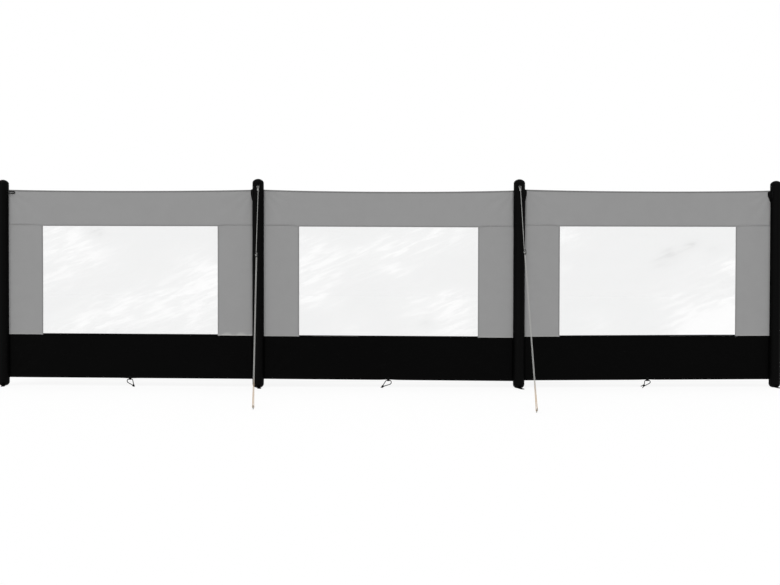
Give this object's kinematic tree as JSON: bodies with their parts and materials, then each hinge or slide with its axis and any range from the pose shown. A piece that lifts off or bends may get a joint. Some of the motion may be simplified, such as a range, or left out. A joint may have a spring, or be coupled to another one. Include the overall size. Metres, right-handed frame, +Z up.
{
  "type": "beach windbreak",
  "caption": "Beach windbreak of grey cloth bays with clear windows and dark skirts between fat air-filled posts, held by guys with runners and by elastic peg loops.",
  "frame": {"origin": "centre of the flat foot of the second post from the left, on the ground", "axes": "+X along the middle bay to the right, +Z up, -Y towards the guyed side"},
  "size_m": [5.3212, 1.4186, 1.4],
  "materials": {
    "post_sleeve": "black coated polyester sleeve, tight over the air tube",
    "grey_cloth": "mid grey woven polyester, matte",
    "skirt_cloth": "black coated polyester, dull sheen",
    "window_film": "clear soft vinyl film with light creases",
    "webbing": "black woven webbing",
    "elastic": "black braided elastic cord",
    "guy_cord": "pale sand braided cord",
    "runner": "black moulded nylon",
    "peg": "plated steel wire"
  },
  "bodies": {
    "root": {"post_1": "post_sleeve", "post_2": "post_sleeve", "post_3": "post_sleeve", "post_4": "post_sleeve", "post_1_foot_tab": "webbing", "post_2_foot_tab": "webbing", "post_3_foot_tab": "webbing", "post_4_foot_tab": "webbing", "post_2_guy_tab": "webbing", "post_2_guy_line": "guy_cord", "post_2_guy_runner": "runner", "post_2_guy_peg": "peg", "post_3_guy_tab": "webbing", "post_3_guy_line": "guy_cord", "post_3_guy_runner": "runner", "post_3_guy_peg": "peg", "bay_1_top_band": "grey_cloth", "bay_1_left_band": "grey_cloth", "bay_1_right_band": "grey_cloth", "bay_1_window": "window_film", "bay_1_skirt": "skirt_cloth", "bay_1_hem_tab": "webbing", "bay_1_peg_loop": "elastic", "bay_2_top_band": "grey_cloth", "bay_2_left_band": "grey_cloth", "bay_2_right_band": "grey_cloth", "bay_2_window": "window_film", "bay_2_skirt": "skirt_cloth", "bay_2_hem_tab": "webbing", "bay_2_peg_loop": "elastic", "bay_3_top_band": "grey_cloth", "bay_3_left_band": "grey_cloth", "bay_3_right_band": "grey_cloth", "bay_3_window": "window_film", "bay_3_skirt": "skirt_cloth", "bay_3_hem_tab": "webbing", "bay_3_peg_loop": "elastic", "bay_1_left_tie": "elastic", "bay_1_right_tie": "webbing", "bay_3_left_tie": "webbing", "bay_3_right_tie": "webbing"}
  },
  "joints": []
}
